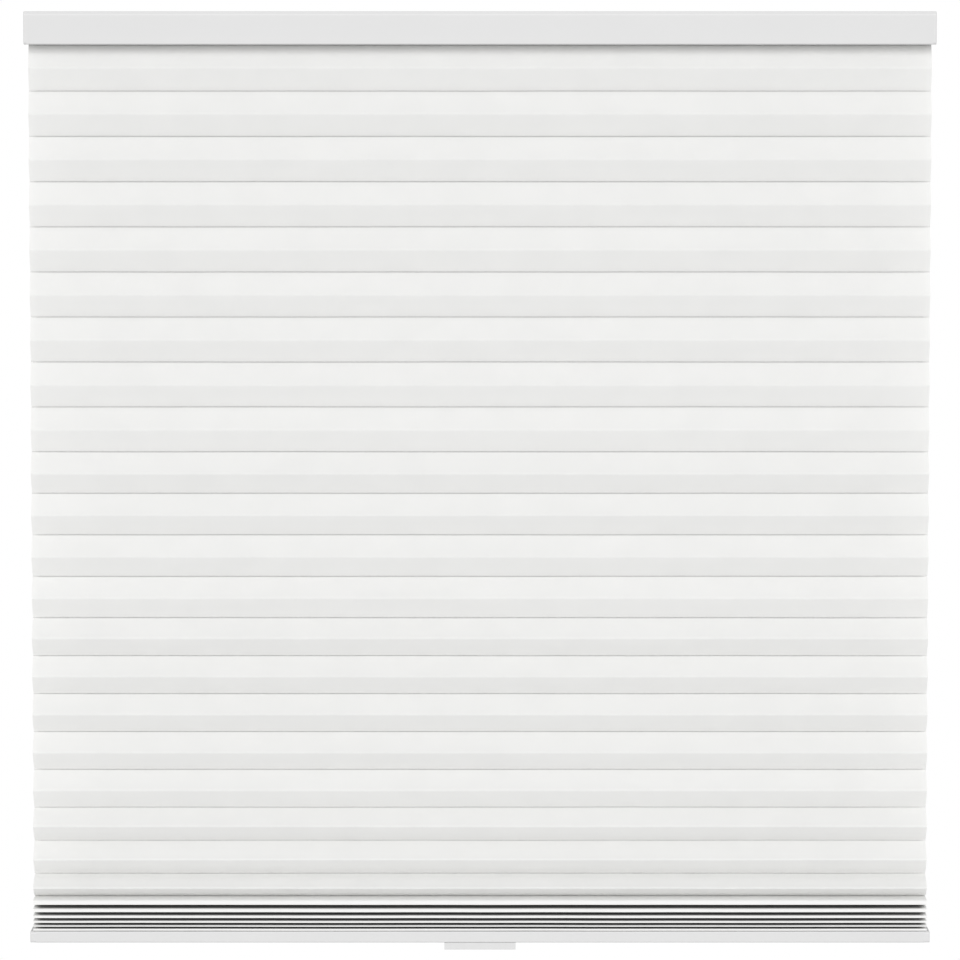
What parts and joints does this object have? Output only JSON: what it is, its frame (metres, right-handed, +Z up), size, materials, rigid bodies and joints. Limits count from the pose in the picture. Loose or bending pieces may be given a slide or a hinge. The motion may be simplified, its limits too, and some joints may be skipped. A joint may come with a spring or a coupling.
{
  "type": "cordless cellular blind",
  "caption": "Cordless honeycomb-pleated window blind with a headrail, spring-balanced lift cords, bottom rail and centre pull handle.",
  "frame": {"origin": "centre of the four bracket screw holes, on the brackets' top plane", "axes": "+X to the right, front faces -Y, +Z up"},
  "size_m": [0.908, 0.058, 0.9436],
  "materials": {
    "satin_aluminium": "satin white powder coat on extruded aluminium",
    "cap_plastic": "satin moulded",
    "handle_plastic": "satin moulded",
    "spring_steel": "zinc plated",
    "clear_strip": "extruded",
    "pleat_fabric": "soft non-woven polyester",
    "motor_plastic": "moulded",
    "gear_plastic": "moulded acetal",
    "spring_strip": "rolled strip",
    "steel_pins": "ground",
    "zinc_screws": "zinc plated",
    "cord_polyester": "braided"
  },
  "bodies": {
    "headrail": {"headrail": "satin_aluminium", "headrail_end_cap_left": "cap_plastic", "headrail_end_cap_right": "cap_plastic", "mounting_bracket_left": "spring_steel", "mounting_bracket_right": "spring_steel", "top_strip": "clear_strip", "cell_fabric": "pleat_fabric", "motor_base": "motor_plastic", "motor_cover": "motor_plastic", "motor_screws": "zinc_screws", "drum_axles": "steel_pins", "pulley_axles": "steel_pins", "motor_spring": "spring_strip", "cord_guide_left": "motor_plastic", "cord_guide_right": "motor_plastic", "lift_cord_left": "cord_polyester", "lift_cord_right": "cord_polyester"},
    "bottom_rail": {"bottom_rail": "satin_aluminium", "bottom_rail_end_cap_left": "cap_plastic", "bottom_rail_end_cap_right": "cap_plastic", "handle": "handle_plastic", "handle_screws": "zinc_screws", "bottom_strip": "clear_strip", "cord_anchor_left": "gear_plastic", "cord_anchor_right": "gear_plastic"},
    "storage_drum": {"storage_drum": "gear_plastic"},
    "drive_drum": {"drive_drum": "gear_plastic"},
    "cord_spool_left": {"cord_spool_left": "gear_plastic"},
    "cord_spool_right": {"cord_spool_right": "gear_plastic"},
    "guide_pulley_left": {"guide_pulley_left": "gear_plastic"},
    "guide_pulley_right": {"guide_pulley_right": "gear_plastic"}
  },
  "joints": [
    {"name": "lift", "type": "slide", "parent": "headrail", "child": "bottom_rail", "axis": [0, 0, 1], "range_m": [0, 0.7545], "deforming": ["cell_fabric", "lift_cord_left", "lift_cord_right"]},
    {"name": "left_spool_turn", "type": "hinge", "parent": "headrail", "child": "cord_spool_left", "pos_m": [0.021, 0, -0.0161], "axis": [0, 0, 1], "range_deg": [-2574.2, 0]},
    {"name": "right_spool_turn", "type": "hinge", "parent": "headrail", "child": "cord_spool_right", "pos_m": [0.063, 0, -0.0161], "axis": [0, 0, 1], "range_deg": [0, 2574.2]},
    {"name": "drive_drum_turn", "type": "hinge", "parent": "headrail", "child": "drive_drum", "pos_m": [-0.021, 0, -0.0161], "axis": [0, 0, 1], "range_deg": [0, 2574.2]},
    {"name": "storage_drum_turn", "type": "hinge", "parent": "headrail", "child": "storage_drum", "pos_m": [-0.063, 0, -0.0161], "axis": [0, 0, 1], "range_deg": [-2574.2, 0]},
    {"name": "left_pulley_turn", "type": "hinge", "parent": "headrail", "child": "guide_pulley_left", "pos_m": [-0.29395, 0, -0.01795], "axis": [0, 1, 0], "range_deg": [0, 7146.4]},
    {"name": "right_pulley_turn", "type": "hinge", "parent": "headrail", "child": "guide_pulley_right", "pos_m": [0.29395, 0, -0.01795], "axis": [0, 1, 0], "range_deg": [-7146.4, 0]}
  ],
  "couplings": [
    {"joint": "left_spool_turn", "follows": "lift", "rad_per_m": -59.524},
    {"joint": "right_spool_turn", "follows": "lift", "rad_per_m": 59.524},
    {"joint": "drive_drum_turn", "follows": "lift", "rad_per_m": 59.524},
    {"joint": "storage_drum_turn", "follows": "lift", "rad_per_m": -59.524},
    {"joint": "left_pulley_turn", "follows": "lift", "rad_per_m": 165.29},
    {"joint": "right_pulley_turn", "follows": "lift", "rad_per_m": -165.29}
  ]
}
